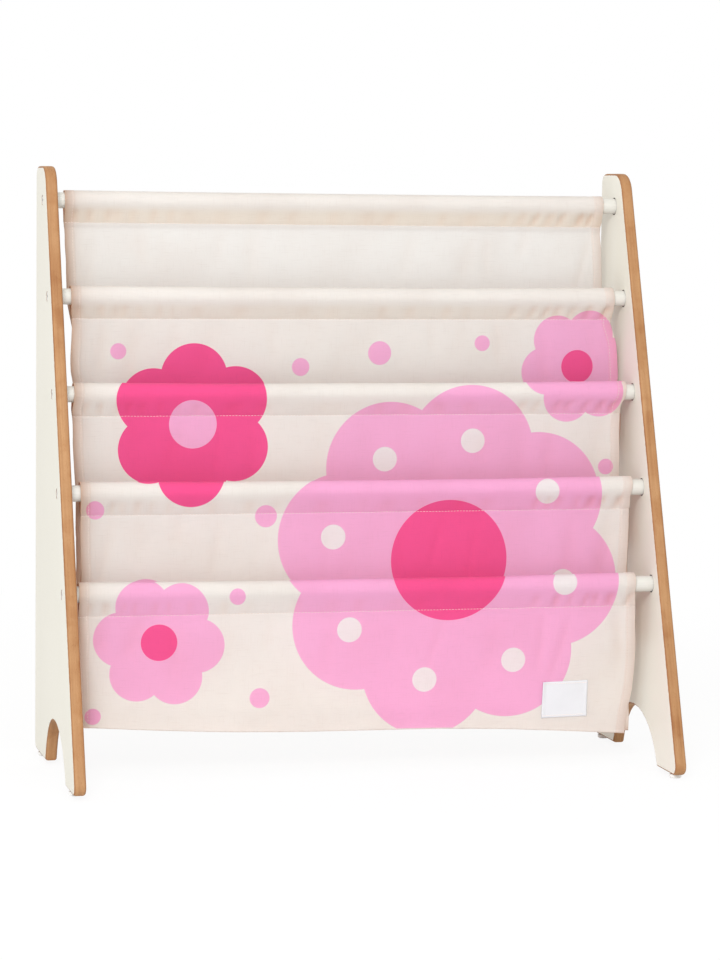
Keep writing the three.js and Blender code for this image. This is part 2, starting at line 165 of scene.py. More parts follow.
# Where the cloth's tones lie, in millimetres, several of them painted shade, and how strong the sleeve
# fronts' tone is, partly doubled cloth and partly painted shade, from the top rail down, set to match the
# photograph
# Edge of the hems' tone, partly the doubled cloth's own tone and partly painted shade
HEM_TONE_EDGE = 0.6
# Painted shade of the side panels on the cloth: how far it reaches in from the left and right side edges,
# and the right side's share
LEFT_PANEL_SHADE = 8.0
RIGHT_PANEL_SHADE = 5.0
RIGHT_PANEL_SHADE_SHARE = 0.35
# Depth of a crease that gets the full painted shade
DEEP_CREASE = 2.6
SEAM_EDGE = 0.4
DOUBLED_SHADE_FROM = 3.0
DOUBLED_SHADE_OVER = 9.0
SLEEVE_SHADE_STRENGTHS = (1.0, 0.7, 0.2, 0.1, 0.0)
PRINT_REACH = 26.0


# Shapes


def smooth(share):
    """Eases a share from 0 to 1: three times its square less twice its cube, held at both ends."""
    share = np.clip(share, 0.0, 1.0)
    return share * share * (3.0 - 2.0 * share)


def soft_noise(across, along, seed):
    """Smooth noise from -1 to 1: random heights on a unit lattice, eased between the four nearest."""
    columns, rows = 97, 89
    heights = np.random.default_rng(seed).uniform(-1.0, 1.0, (columns, rows))
    column, row = np.floor(across).astype(int), np.floor(along).astype(int)
    right, up = smooth(across - column), smooth(along - row)
    corner = [heights[(column + i) % columns, (row + j) % rows] for j in (0, 1) for i in (0, 1)]
    low = corner[0] * (1 - right) + corner[1] * right
    high = corner[2] * (1 - right) + corner[3] * right
    return low * (1 - up) + high * up


def rail_middle(number):
    """Y and Z of a rail's middle line in millimetres, halfway between its lowest and highest corner."""
    low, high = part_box(f"rail_{number}")
    return MM_IN_METRE / 2 * (low.y + high.y), MM_IN_METRE / 2 * (low.z + high.z)


def sway_wave(x, band):
    """Wave across the cloth from -1 to 1: a cosine and a weaker, quicker sine."""
    phase = 2 * np.pi * SWAY_PHASES[band]
    turn = 2 * np.pi * x / SWAY_WIDTH
    second = SWAY_SECOND_SHARE * np.sin(SWAY_SECOND_TURNS * turn + 2 * phase)
    return (np.cos(turn + phase) + second) / (1 + SWAY_SECOND_SHARE)


def cloth_places():
    """Places across the cloth: close together over the side hems and evenly spaced between them."""
    hem = np.array(HEM_COLUMNS)
    middle = np.linspace(hem[-1] - HALF_WIDTH, HALF_WIDTH - hem[-1], MIDDLE_COLUMNS + 2)[1:-1]
    return np.concatenate([hem - HALF_WIDTH, middle, (HALF_WIDTH - hem)[::-1]])


def sleeve(number, places, lift):
    """Sleeve round a rail, from its seam allowance behind, up and over, to its seam in front.

    A circle round the rail with a straight run to it from each seam, touching it, so that the section
    is a drop. The top is raised by the lift, eased in from a little below the rail's middle.
    """
    y, z = rail_middle(number)
    half_step = LAYER_STEP / 2
    reach = np.hypot(half_step, SEAM_DROP)
    opening = np.arccos(SLEEVE_RADIUS / reach) + np.arctan(half_step / SEAM_DROP)
    turns = np.linspace(opening - np.pi / 2, 1.5 * np.pi - opening, ARC_ROWS)
    arc_y, arc_z = SLEEVE_RADIUS * np.cos(turns), SLEEVE_RADIUS * np.sin(turns)
    shares = np.array(RUN_SHARES)
    run_y = half_step + (arc_y[0] - half_step) * shares
    run_z = -SEAM_DROP + (arc_z[0] + SEAM_DROP) * shares
    allowance = [-SEAM_DROP - SEAM_ALLOWANCE, -SEAM_DROP - SEAM_ALLOWANCE / 2]
    across = np.concatenate([[half_step, half_step], run_y, arc_y, -run_y[::-1]])[:, None]
    up = np.concatenate([allowance, run_z, arc_z, run_z[::-1]])[:, None]
    raised = up + smooth((up + LIFT_START) / (LIFT_START + SLEEVE_RADIUS)) * lift[None, :]
    return np.repeat(y + across, len(places), 1), z + raised


def sleeve_lift(index, places):
    """How far a sleeve stands off the top of its rail: least in the middle, more at its stiff ends."""
    ends = smooth((np.abs(places) - LIFT_INNER) / LIFT_REACH)
    return SLEEVE_LIFT[index] * (LIFT_MIDDLE_SHARE + (1 - LIFT_MIDDLE_SHARE) * ends)


def falling_wall(y, seam_z, free_z, drift, steps):
    """Run of cloth down from its seam to its free end, with closer rows at the seam. Its place in depth
    drifts, eased with the distance from the seam."""
    near = np.array(SEAM_STEPS)[:, None]
    shares = np.linspace(0.0, 1.0, steps + 1)[1:, None]
    below = seam_z - near[-1] - (seam_z - free_z - near[-1]) * shares
    z = np.concatenate([seam_z - near + 0 * free_z, below])
    return y + drift * smooth((seam_z - z) / (seam_z - free_z)), z


def creases(x, drop, marks):
    """Sum of valleys. Each follows a line that leans with the drop below the rail, is a Gaussian across
    it, and is eased in at its top and out at its bottom over two fifths of its length."""
    total = np.zeros(np.broadcast(x, drop).shape)
    for place, lean, width, top, bottom, depth in marks:
        middle = place + lean * (drop - (top + bottom) / 2)
        run = 0.4 * (bottom - top)
        fade = smooth((drop - top) / run) * smooth((bottom - drop) / run)
        total -= depth * np.exp(-(((x - middle) / width) ** 2)) * fade
    return total


def sleeve_marks(band):
    """Puckers of a sleeve, gathered towards its two ends and faint between them. Each mark is a place
    across, a lean, a width, the drops of its top and bottom, and a depth."""
    draw = np.random.default_rng(410 + band)
    outermost, spacing, top, bottom = 276.0, 15.5, 4.0, 25.0
    marks = []
    for side, lean, strength in ((-1, -0.12, 0.6), (1, -0.36, 1.0)):
        for step in range(7):
            place = side * (outermost - spacing * step - draw.uniform(0, 9))
            depth = draw.uniform(1.4, 3.0) * strength * (1.0 - 0.08 * step)
            marks.append((place, lean + draw.uniform(-0.1, 0.1), draw.uniform(2.6, 4.8), top, bottom, depth))
    leftmost, spacing, top, bottom = -150.0, 35.0, 5.0, 26.0
    for step in range(9):
        place = leftmost + spacing * step + draw.uniform(-14, 14)
        lean, width, depth = draw.uniform(-0.3, 0.1), draw.uniform(4, 9), draw.uniform(0.3, 0.9)
        marks.append((place, lean, width, top, bottom, depth))
    return marks


def wall_marks(band):
    """Soft creases that run down from a seam, longer and shallower than those of the sleeve, and deeper
    towards the two side edges."""
    draw = np.random.default_rng(530 + band)
    leftmost, spacing, top = -262.0, 43.0, 16.0
    marks = []
    for step in range(13):
        place = leftmost + spacing * step + draw.uniform(-15, 15)
        near_end = abs(place) / HALF_WIDTH
        depth = draw.uniform(0.6, 1.8) * (0.5 + 0.9 * near_end ** 2)
        bottom = draw.uniform(60, 130)
        marks.append((place, draw.uniform(-0.35, 0.05), draw.uniform(4.5, 10), top, bottom, depth))
    return marks


def edge_pull(x, drop, band):
    """How far the cloth is pulled in across its width, from each side edge and fading towards the middle."""
    right = np.interp(drop, *zip(*RIGHT_EDGE[band]))
    left = np.interp(drop, *zip(*LEFT_EDGE[band]))
    wander = EDGE_WANDER * soft_noise(drop / EDGE_WANDER_LENGTH + 7, x * 0 + band, 77)
    reach = HALF_WIDTH - STILL_HALF
    near_left, near_right = smooth((-x - STILL_HALF) / reach), smooth((x - STILL_HALF) / reach)
    return (left + wander) * near_left - (right + wander) * near_right


def relief(x, drop, band, hidden, folds):
    """Height of the cloth off its hanging shape in millimetres, outwards.

    The folds, which are the sum of the puckers and creases, a shallow groove with short ripples along
    the seam, and two sizes of noise. All but the finer noise fades where the cloth is hidden, and close
    to the rail nothing dips in.
    """
    seam = drop - SEAM_DROP
    turn = 2 * np.pi * x / RIPPLE_PITCH + 5 * soft_noise(x / 40.0, x * 0 + band, 12)
    ripple = RIPPLE * np.cos(turn) * np.exp(-((seam / RIPPLE_REACH) ** 2))
    groove = SEAM_GROOVE * np.exp(-((seam / SEAM_GROOVE_WIDTH) ** 2))
    height = folds * smooth((drop - 4.0) / 8.0) + ripple - groove
    swell = SWELL * soft_noise(x / 26.0 + 3, drop / 34.0 + 5, 40 + band)
    grain = GRAIN * soft_noise(x / 8.0, drop / 13.0, 60 + band)
    loose = smooth((drop - 6.0) / 16.0)
    return (height + swell * loose) * (1 - hidden) + grain * (0.3 + 0.7 * loose)


def hem_layers(places):
    """Thickness of the canvas across its width: one layer, and one more over each side hem, pressed
    together along its line of stitches."""
    inside = HALF_WIDTH - np.abs(places)
    double = 1 - smooth((inside - HEM_WIDTH) / HEM_STEP)
    pressed = np.exp(-(((inside - HEM_STITCH) / STITCH_GROOVE) ** 2))
    return CANVAS + HEM_LAYER * double * (1 - STITCH_PRESS * pressed)


def shifted(x, y, z, outer_y, outer_z, distance):
    """Points of a surface moved by a distance along the direction given in Y and Z."""
    return np.stack([x, y + distance * outer_y, z + distance * outer_z], -1)


def closed_shell(x, y, z, outer_y, outer_z, thickness):
    """Closed body of cloth from its middle surface: half the thickness to either side of it. Returns
    the vertices, those of the outer side first, and quads."""
    half = thickness / 2
    sides = [shifted(x, y, z, outer_y, outer_z, s * half).reshape(-1, 3) for s in (1, -1)]
    at = np.arange(y.size).reshape(y.shape)
    back = at + at.size

    def strip(a, b, c, d):
        return np.stack([a.ravel(), b.ravel(), c.ravel(), d.ravel()], -1)

    quads = np.concatenate([
        strip(at[:-1, :-1], at[1:, :-1], at[1:, 1:], at[:-1, 1:]),
        strip(back[:-1, :-1], back[:-1, 1:], back[1:, 1:], back[1:, :-1]),
        strip(at[0, :-1], at[0, 1:], back[0, 1:], back[0, :-1]),
        strip(at[-1, :-1], back[-1, :-1], back[-1, 1:], at[-1, 1:]),
        strip(at[:-1, 0], back[:-1, 0], back[1:, 0], at[1:, 0]),
        strip(at[:-1, -1], at[1:, -1], back[1:, -1], back[:-1, -1]),
    ])
    return np.concatenate(sides), quads


def add_mesh(name, vertices, faces, material, smooth_shading=True):
    """A mesh object from arrays of vertices in millimetres and of faces with equal counts of corners."""
    mesh = bpy.data.meshes.new(name)
    corners = faces.shape[1]
    mesh.vertices.add(len(vertices))
    mesh.vertices.foreach_set("co", (vertices * MM).astype(np.float32).ravel())
    mesh.loops.add(faces.size)
    mesh.loops.foreach_set("vertex_index", faces.astype(np.int32).ravel())
    mesh.polygons.add(len(faces))
    mesh.polygons.foreach_set("loop_start", np.arange(0, faces.size, corners, dtype=np.int32))
    mesh.polygons.foreach_set("loop_total", np.full(len(faces), corners, np.int32))
    mesh.polygons.foreach_set("use_smooth", np.full(len(faces), smooth_shading))
    mesh.update(calc_edges=True)
    mesh.validate()
    mesh.materials.append(material)
    piece = bpy.data.objects.new(name, mesh)
    bpy.context.scene.collection.objects.link(piece)
    return piece


def set_corner_map(piece, name, faces, across, up):
    """A UV map in metres for a closed shell, from two arrays over its middle surface in millimetres."""
    values = np.tile(np.stack([across.ravel(), up.ravel()], -1), (2, 1)) * MM
    layer = piece.data.uv_layers.new(name=name)
    layer.data.foreach_set("uv", values[faces.ravel()].astype(np.float32).ravel())


def set_vertex_value(piece, name, outer, inner=None):
    """A named number for each vertex of a closed shell, for the materials to read: from one array for
    its outer side and one for its inner side, or from one for both."""
    inner = outer if inner is None else inner
    layer = piece.data.attributes.new(name, "FLOAT", "POINT")
    layer.data.foreach_set("value", np.concatenate([outer.ravel(), inner.ravel()]).astype(np.float32))


def outward(y, z):
    """Direction square to the cloth's path in the plane of Y and Z, on the cloth's printed side."""
    along_y, along_z = np.gradient(y, axis=0), np.gradient(z, axis=0)
    length = np.hypot(along_y, along_z)
    return along_z / length, -along_y / length


def path_length(y, z):
    """Distance along each column of the cloth from its first row."""
    steps = np.hypot(np.diff(y, axis=0), np.diff(z, axis=0))
    return np.concatenate([np.zeros((1, y.shape[1])), np.cumsum(steps, axis=0)])


def print_place(x, y, z):
    """Place of a point in the print: across and up as the bands line up when seen from the front left
    and a little above, in millimetres."""
    return x - np.tan(CAMERA_YAW) * y, z + np.tan(CAMERA_PITCH) / np.cos(CAMERA_YAW) * y


def printed_share(band, row, front_rows, z):
    """1 where the cloth is printed: on the rows in front, apart from what hangs deep in a pocket."""
    first, last = front_rows
    printed = smooth(row - first + 5.0) * np.where(row <= last, 1.0, 0.0)
    if band < RAILS - 1:
        next_top = rail_middle(band + 2)[1] + SLEEVE_RADIUS
        printed = printed * np.where((row <= first + 6) | (z > next_top - PRINT_REACH), 1.0, 0.0)
    return printed * np.ones_like(z)


def cloth_piece(name, band, y, z, front_rows, material):
    """One length of canvas from its middle surface, with its relief, hems, maps and the numbers that its
    material reads. Returns it, its printed side's points and normals, and the length along it.

    front_rows are the rows from the rail's top, down the front, to where the cloth turns behind.
    """
    places = cloth_places()
    drop = np.clip(rail_middle(band + 1)[1] - z, -12.0, 300.0)
    row = np.arange(len(y))[:, None]
    first, last = front_rows
    hidden = smooth(np.maximum(first - row, row - last) / HIDING_ROWS)
    puckers = creases(places[None, :], drop, sleeve_marks(band))
    wrinkles = creases(places[None, :], drop, wall_marks(band))
    height = relief(places[None, :], drop, band, hidden, puckers + wrinkles)
    height = height * smooth((row - 1.0) / 6.0)
    out_y, out_z = outward(y, z)
    y, z = y + height * out_y, z + height * out_z
    x = places[None, :] + edge_pull(places[None, :] + 0 * drop, drop, band) + CLOTH_SHIFT
    out_y, out_z = outward(y, z)
    thickness = hem_layers(places)[None, :] + 0 * y
    vertices, quads = closed_shell(x, y, z, out_y, out_z, thickness)
    piece = add_mesh(name, vertices, quads, material)
    along = path_length(y, z)
    set_corner_map(piece, "weave", quads, places[None, :] + 0 * along, along)
    set_corner_map(piece, "print", quads, *print_place(x - CLOTH_SHIFT, y, z))

    printed = printed_share(band, row, front_rows, z)
    set_vertex_value(piece, "printed", printed, 0 * printed)
    # Hems' tone: partly the doubled cloth's own tone and partly painted shade
    hem = 1 - smooth((HALF_WIDTH - np.abs(places) - HEM_WIDTH) / HEM_TONE_EDGE)
    set_vertex_value(piece, "hem", hem[None, :] + 0 * y)
    # Painted shade of the side panels: a warm, darker tone fading in from each side edge
    panel_shade = np.exp(-(HALF_WIDTH + places) / LEFT_PANEL_SHADE)
    panel_shade = panel_shade + RIGHT_PANEL_SHADE_SHARE * np.exp(-(HALF_WIDTH - places) / RIGHT_PANEL_SHADE)
    set_vertex_value(piece, "panel_shade", panel_shade[None, :] + 0 * y)
    # Painted shade in the puckers and creases, deepest where they dip most
    shaded = np.clip(-(puckers + 0.3 * wrinkles) / DEEP_CREASE, 0.0, 1.0)
    set_vertex_value(piece, "fold", shaded * (1 - hidden))
    # Inner side and hidden parts: a warmer, darker painted shade, which also warms the light they bounce;
    # they also let more light through
    behind = hidden + 0 * y
    set_vertex_value(piece, "behind", behind, 1 + 0 * behind)
    below_seam = smooth((drop - SEAM_DROP + SEAM_EDGE) / (2 * SEAM_EDGE))
    # Sleeve fronts down to the seam: partly the doubled cloth's own tone and partly painted shade, strongest
    # on the top sleeves
    doubled_and_shade = smooth((drop - DOUBLED_SHADE_FROM) / DOUBLED_SHADE_OVER) * (1 - below_seam) * SLEEVE_SHADE_STRENGTHS[band]
    set_vertex_value(piece, "sleeve_doubled_and_shade", doubled_and_shade * (1 - hidden))
    set_vertex_value(piece, "bare", below_seam * (0.0 if band else 1.0))

    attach(piece, "root")
    surface = shifted(x, y, z, out_y, out_z, thickness / 2)
    normal = np.stack([np.zeros_like(x), out_y, out_z], -1)
    return piece, surface, normal, along


def along_line(points, normals, pitch, start, end):
    """Points, directions and normals at even steps of length along a line of surface points."""
    steps = np.linalg.norm(np.diff(points, axis=0), axis=1)
    length = np.concatenate([[0.0], np.cumsum(steps)])
    stops = np.arange(length[0] + start, length[-1] - end, pitch)

    def at(places, values):
        return np.stack([np.interp(places, length, values[:, i]) for i in range(3)], -1)

    ahead, before, normal = at(stops + 0.5, points), at(stops - 0.5, points), at(stops, normals)
    direction = (ahead - before) / np.linalg.norm(ahead - before, axis=1)[:, None]
    return at(stops, points), direction, normal / np.linalg.norm(normal, axis=1)[:, None]


def one_stitch():
    """Points and triangles of a stitch: a short bowed thread with three rings of points and a tip at
    either end, which dips into the cloth."""
    turns = np.arange(STITCH_CORNERS) * np.pi / 3
    points = [(-1.0, 0.0, -STITCH_DIP)]
    for share in (-0.72, 0.0, 0.72):
        radius = THREAD_RADIUS * np.sqrt(1 - share ** 2 * 0.55)
        bow = STITCH_BOW * (1 - share ** 2)
        points += [(share, radius * np.cos(turn), bow + radius * np.sin(turn)) for turn in turns]
    points.append((1.0, 0.0, -STITCH_DIP))
    points = np.array(points)
    points[:, 0] *= STITCH_LENGTH / 2
    corner = np.arange(STITCH_CORNERS)
    following = (corner + 1) % STITCH_CORNERS
    faces = [np.stack([0 * corner, 1 + corner, 1 + following], -1)]
    for ring_start in (1, 1 + STITCH_CORNERS):
        a, b = ring_start + corner, ring_start + following
        faces.append(np.stack([a, a + STITCH_CORNERS, b], -1))
        faces.append(np.stack([b, a + STITCH_CORNERS, b + STITCH_CORNERS], -1))
    last_ring = 1 + 2 * STITCH_CORNERS
    faces.append(np.stack([0 * corner + len(points) - 1, last_ring + following, last_ring + corner], -1))
    return points, np.concatenate(faces)


def add_stitches(name, lines, material):
    """Stitches of one thread along lines of surface points, each line with its pitch and the lengths
    left free at its start and end."""
    template, template_faces = one_stitch()
    all_points, all_faces, count = [], [], 0
    for points, normals, pitch, start, end in lines:
        place, direction, normal = along_line(points, normals, pitch, start, end)
        aside = np.cross(normal, direction)
        stitch = (place[:, None] + direction[:, None] * template[None, :, :1]
                  + aside[:, None] * template[None, :, 1:2] + normal[:, None] * template[None, :, 2:3])
        all_points.append(stitch.reshape(-1, 3))
        offsets = count + len(template) * np.arange(len(place))
        all_faces.append((template_faces[None] + offsets[:, None, None]).reshape(-1, 3))
        count += len(place) * len(template)
    piece = add_mesh(name, np.concatenate(all_points), np.concatenate(all_faces), material)
    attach(piece, "root")
    return piece


# Materials


def colour(red, green, blue):
    """A colour written as 0 to 255 on screen, as the light it stands for."""
    share = np.array([red, green, blue]) / 255.0
    light = np.where(share <= 0.04045, share / 12.92, ((share + 0.055) / 1.055) ** 2.4)
    return (*light.tolist(), 1.0)


class Recipe:
    """Builds one material's nodes. Lengths are in metres and noise scales per metre."""

    def __init__(self, name):
        self.material = bpy.data.materials.new(name)
        self.material.use_nodes = True
        self.tree = self.material.node_tree
        self.tree.nodes.clear()

    def add(self, kind, inputs=(), **settings):
        """A node with its settings, and its inputs linked or set by name or number."""
        node = self.tree.nodes.new(kind)
        for name, value in settings.items():
            setattr(node, name, value)
        for name, value in dict(inputs).items():
            self.put(node.inputs[name], value)
        return node

    def put(self, socket, value):
        if isinstance(value, bpy.types.NodeSocket):
            self.tree.links.new(value, socket)
        else:
            socket.default_value = value

    def object_place(self):
        return self.add("ShaderNodeTexCoord").outputs["Object"]

    def surface_map(self, name):
        return self.add("ShaderNodeUVMap", uv_map=name).outputs["UV"]

    def vertex_value(self, name):
        return self.add("ShaderNodeAttribute", attribute_name=name).outputs["Fac"]

    def sum(self, operation, *values):
        """Output of a Math node."""
        return self.add("ShaderNodeMath", dict(enumerate(values)), operation=operation).outputs[0]

    def step(self, value, low, high):
        """Eases a value to a share from 0 at low to 1 at high."""
        node = self.add("ShaderNodeMapRange", {"Value": value, "From Min": low, "From Max": high},
                        interpolation_type="SMOOTHSTEP")
        return node.outputs["Result"]

    def blend(self, share, first, second):
        """Mix of two colours."""
        return self.add("ShaderNodeMix", {0: share, 6: first, 7: second}, data_type="RGBA").outputs[2]

    def tint(self, base, share, tone):
        """A colour multiplied by a tone, by a share."""
        inputs = {0: share, 6: base, 7: (*tone, 1.0)}
        return self.add("ShaderNodeMix", inputs, data_type="RGBA", blend_type="MULTIPLY").outputs[2]

    def noise(self, place, scale, detail=3.0, roughness=0.5):
        node = self.add("ShaderNodeTexNoise",
                        {"Vector": place, "Scale": scale, "Detail": detail, "Roughness": roughness})
        return node.outputs["Fac"]

    def scaled(self, place, scale):
        """A place with its three directions scaled, for noise that runs one way."""
        return self.add("ShaderNodeMapping", {"Vector": place, "Scale": scale}).outputs["Vector"]

    def bump(self, height, distance, strength=1.0):
        inputs = {"Height": height, "Distance": distance, "Strength": strength}
        return self.add("ShaderNodeBump", inputs).outputs["Normal"]

    def surface(self, paint, roughness, normal, **settings):
        """Principled shader with the sockets that every finish here sets, and others by their names with
        underscores for spaces."""
        inputs = {"Base Color": paint, "Roughness": roughness, "Normal": normal}
        inputs.update({name.replace("_", " "): value for name, value in settings.items()})
        return self.add("ShaderNodeBsdfPrincipled", inputs).outputs["BSDF"]

    def mixed(self, share, first, second):
        return self.add("ShaderNodeMixShader", {0: share, 1: first, 2: second}).outputs["Shader"]

    def finish(self, shader):
        self.add("ShaderNodeOutputMaterial", {"Surface": shader})
        return self.material


CREAM = colour(248, 247, 245)
LIGHT_PINK = colour(255, 190, 233)
HOT_PINK = colour(255, 97, 164)
PALE_DOT = colour(250, 247, 251)

# Blossoms of the print: centre across and up, petal count, petal radius, distance of the petals'
# centres, turn of the first petal in radians, radius of the heart, and tone; lengths in millimetres
BLOSSOMS = (
    (96.0, 208.0, 8, 66.0, 112.0, 0.2, 60.0, "light"),
    (-168.0, 346.0, 6, 34.0, 48.0, 0.5, 24.0, "hot"),
    (-196.0, 132.0, 6, 27.0, 38.0, 0.1, 18.0, "light"),
    (232.0, 404.0, 6, 25.0, 35.0, 0.9, 17.0, "light"),
)
# Dots on the petals of the first blossom: count, distance from its centre, radius
DOTS_ON_PETALS = (8, 122.0, 12.5)
# Loose dots: place across and up, radius
LOOSE_DOTS = (
    (-262.0, 262.0, 9.0), (-92.0, 254.0, 11.0), (-60.0, 404.0, 9.0), (-246.0, 420.0, 8.0),
    (-96.0, 74.0, 10.0), (-262.0, 60.0, 8.0), (22.0, 418.0, 12.0), (130.0, 428.0, 8.0),
    (-118.0, 176.0, 8.0), (262.0, 300.0, 8.0),
)
PRINT_EDGE = 0.6

# Tones by which the canvas is multiplied where a number of the cloth is 1, each with its strength
CANVAS_TONES = (
    # Hems: partly the doubled cloth's own tone and partly painted shade
    ("hem", 0.6, (0.975, 0.92, 0.89)),
    # Painted shade next to the side panels
    ("panel_shade", 1.0, (0.75, 0.58, 0.47)),
    # Painted shade in the folds
    ("fold", 1.0, (0.97, 0.87, 0.81)),
    # Sleeve fronts: partly the doubled cloth's own tone and partly painted shade
    ("sleeve_doubled_and_shade", 1.0, (0.94, 0.92, 0.87)),
    ("bare", 1.0, (0.9, 0.91, 0.92)),
    # Painted shade on the inner side and on the parts that hang behind
    ("behind", 1.0, (1.0, 0.945, 0.91)),
)
THROUGH_TONE = (1.0, 0.97, 0.945)
LIGHT_THROUGH = 0.45
MORE_LIGHT_BEHIND = 0.47
CANVAS_THREAD = 0.62
TAPE_THREAD = 0.42
# Radius in millimetres of the painted shade in each rail's bore
BORE_RADIUS = 9.8


def near(recipe, place, x, z, radius):
    """Share that is 1 inside a circle in millimetres and 0 outside it, with a narrow soft edge."""
    distance = recipe.add("ShaderNodeVectorMath", {0: place, 1: (x * MM, z * MM, 0.0)}, operation="DISTANCE")
    outer, inner = radius * MM + PRINT_EDGE * MM / 2, radius * MM - PRINT_EDGE * MM / 2
    return recipe.step(distance.outputs["Value"], outer, inner)


def folded_place(recipe, place, x, z, count, turn):
    """A point round a centre, folded into half of one of count equal sectors: its angle is led to and
    fro between 0 and half the sector, and its distance stays. Two full turns keep the angle positive."""
    offset = recipe.add("ShaderNodeVectorMath", {0: place, 1: (x * MM, z * MM, 0.0)}, operation="SUBTRACT")
    offset = offset.outputs["Vector"]
    parts = recipe.add("ShaderNodeSeparateXYZ", {0: offset})
    angle = recipe.sum("ARCTAN2", parts.outputs["Y"], parts.outputs["X"])
    distance = recipe.add("ShaderNodeVectorMath", {0: offset}, operation="LENGTH").outputs["Value"]
    sector = 2 * np.pi / count
    folded = recipe.sum("PINGPONG", recipe.sum("ADD", angle, turn + 4 * np.pi), sector / 2)
    across = recipe.sum("MULTIPLY", distance, recipe.sum("COSINE", folded))
    aside = recipe.sum("MULTIPLY", distance, recipe.sum("SINE", folded))
    return recipe.add("ShaderNodeCombineXYZ", {"X": across, "Y": aside}).outputs["Vector"]


def blossom(recipe, place, x, z, count, petal, reach, turn):
    """Share inside a blossom: one petal circle in each sector, and a circle that fills the middle."""
    folded = folded_place(recipe, place, x, z, count, turn)
    petals = near(recipe, folded, reach, 0.0, petal)
    return recipe.sum("MAXIMUM", petals, near(recipe, place, x, z, reach))


def printed_colour(recipe, place):
    """Colour of the print: blossoms with hearts, dots on the petals of the large one, and loose dots."""
    paint = CREAM
    for x, z, radius in LOOSE_DOTS:
        paint = recipe.blend(near(recipe, place, x, z, radius), paint, LIGHT_PINK)
    for x, z, count, petal, reach, turn, heart, tone in BLOSSOMS:
        petals, middle = (LIGHT_PINK, HOT_PINK) if tone == "light" else (HOT_PINK, LIGHT_PINK)
        paint = recipe.blend(blossom(recipe, place, x, z, count, petal, reach, turn), paint, petals)
        paint = recipe.blend(near(recipe, place, x, z, heart), paint, middle)
    x, z, _, _, _, turn, _, _ = BLOSSOMS[0]
    count, reach, radius = DOTS_ON_PETALS
    folded = folded_place(recipe, place, x, z, count, turn)
    return recipe.blend(near(recipe, folded, reach, 0.0, radius), paint, PALE_DOT)


def thread_height(recipe, place, pitch):
    """Height of a plain weave: warp and weft are rounded ridges that take turns on top, from the product
    of two sines and the ridges' own cosines."""
    parts = recipe.add("ShaderNodeSeparateXYZ", {0: place})
    turns = 2 * np.pi / (pitch * MM)
    across = recipe.sum("MULTIPLY", parts.outputs["X"], turns)
    along = recipe.sum("MULTIPLY", parts.outputs["Y"], turns)
    over = recipe.sum("MULTIPLY", recipe.sum("SINE", recipe.sum("MULTIPLY", across, 0.5)),
                      recipe.sum("SINE", recipe.sum("MULTIPLY", along, 0.5)))
    ridges = recipe.sum("ADD", recipe.sum("COSINE", across), recipe.sum("COSINE", along))
    return recipe.sum("ADD", recipe.sum("MULTIPLY", ridges, -0.25), recipe.sum("MULTIPLY", over, 0.5))


def canvas_material():
    """Printed canvas: cream with the print on its shown parts, plain weave and slubs. The tone is warmer
    and darker with painted shade: in the doubled hems and on the sleeves' fronts, where it is partly the
    doubled cloth's own tone, in the folds, next to the panels, on the inner side and on the parts that hang
    behind. It is greyer on the unprinted top band. Light is let through, most of it by the inner side and
    the parts behind."""
    recipe = Recipe("printed_canvas")
    weave, place = recipe.surface_map("weave"), recipe.surface_map("print")
    numbers = {name: recipe.vertex_value(name) for name, _, _ in CANVAS_TONES}
    printed = recipe.step(recipe.vertex_value("printed"), 0.35, 0.65)
    paint = recipe.blend(printed, CREAM, printed_colour(recipe, place))
    slubs = recipe.noise(recipe.scaled(weave, (60.0, 900.0, 1.0)), 1.0, 2.0)
    slubs_across = recipe.noise(recipe.scaled(weave, (900.0, 60.0, 1.0)), 1.0, 2.0)
    cloudy = recipe.noise(weave, 14.0)
    paint = recipe.tint(paint, recipe.step(slubs, 0.5, 0.85), (0.955, 0.945, 0.94))
    paint = recipe.tint(paint, recipe.step(slubs_across, 0.5, 0.85), (0.965, 0.955, 0.95))
    paint = recipe.tint(paint, recipe.step(cloudy, 0.4, 0.75), (0.975, 0.962, 0.955))
    for name, strength, tone in CANVAS_TONES:
        paint = recipe.tint(paint, recipe.sum("MULTIPLY", numbers[name], strength), tone)
    threads = thread_height(recipe, weave, CANVAS_THREAD)
    height = recipe.sum("ADD", threads, recipe.sum("MULTIPLY", recipe.sum("ADD", slubs, slubs_across), 0.9))
    normal = recipe.bump(height, 0.00012, 0.55)
    cloth = recipe.surface(paint, 0.92, normal, Sheen_Weight=0.12, Sheen_Roughness=0.5,
                           Specular_IOR_Level=0.2)
    through = recipe.tint(paint, 1.0, THROUGH_TONE)
    passed = recipe.sum("ADD", LIGHT_THROUGH, recipe.sum("MULTIPLY", numbers["behind"], MORE_LIGHT_BEHIND))
    light = recipe.add("ShaderNodeBsdfTranslucent", {"Color": through, "Normal": normal}).outputs["BSDF"]
    return recipe.finish(recipe.mixed(passed, cloth, light))


def thread_material():
    """Sewing thread: off-white, with a fine twist."""
    recipe = Recipe("sewing_thread")
    settings = {"Vector": recipe.object_place(), "Scale": 900.0, "Distortion": 1.5}
    twist = recipe.add("ShaderNodeTexWave", settings).outputs["Fac"]
    paint = recipe.blend(twist, colour(236, 218, 210), colour(248, 233, 226))
    return recipe.finish(recipe.surface(paint, 0.7, recipe.bump(twist, 0.00005), Sheen_Weight=0.2))


def tape_material():
    """Bare woven tape of the label: white and a little cloudy, with a fine weave."""
    recipe = Recipe("label_tape")
    place = recipe.surface_map("weave")
    threads = thread_height(recipe, place, TAPE_THREAD)
    paint = recipe.blend(recipe.noise(place, 60.0), colour(212, 213, 217), colour(220, 221, 225))
    return recipe.finish(recipe.surface(paint, 0.6, recipe.bump(threads, 0.00006, 0.6), Sheen_Weight=0.1))


